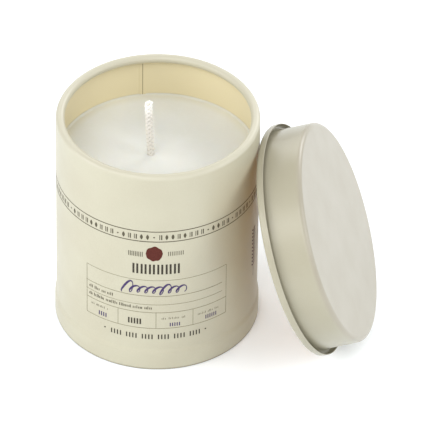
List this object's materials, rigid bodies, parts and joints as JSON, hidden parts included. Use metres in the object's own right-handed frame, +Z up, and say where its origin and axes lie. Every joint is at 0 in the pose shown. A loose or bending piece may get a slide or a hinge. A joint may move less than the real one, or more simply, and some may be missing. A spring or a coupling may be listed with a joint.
{
  "type": "candle tin",
  "caption": "round tinplate candle tin with seamed base, curled mouth, poured wax, braided wick and a slip lid leaning on its side",
  "frame": {"origin": "on the tin's own axis, at the surface its foot stands on", "axes": "+Z up along the tin's axis, -Y the printed front, +X the side the lid leans on"},
  "size_m": [0.0865, 0.067, 0.0686],
  "materials": {
    "printed_tinplate": "satin",
    "base_tinplate": "satin",
    "sealing_compound": "matte",
    "lid_lacquer": "satin",
    "candle_wax": "satin",
    "cotton_braid": "matte",
    "wick_core_paper": "matte",
    "tab_tinplate": "satin",
    "sticker_foam": "matte"
  },
  "bodies": {
    "tin": {"tin_body": "printed_tinplate", "tin_base": "base_tinplate", "base_seam_compound": "sealing_compound", "wax_fill": "candle_wax", "wick_braid": "cotton_braid", "wick_core": "wick_core_paper", "wick_tab": "tab_tinplate", "wick_sticker": "sticker_foam"},
    "lid": {"lid": "lid_lacquer"}
  },
  "joints": [
    {"name": "lid_lift", "type": "slide", "parent": "tin", "child": "lid", "axis": [0, 0, 1], "range_m": [0, 0.08]}
  ]
}
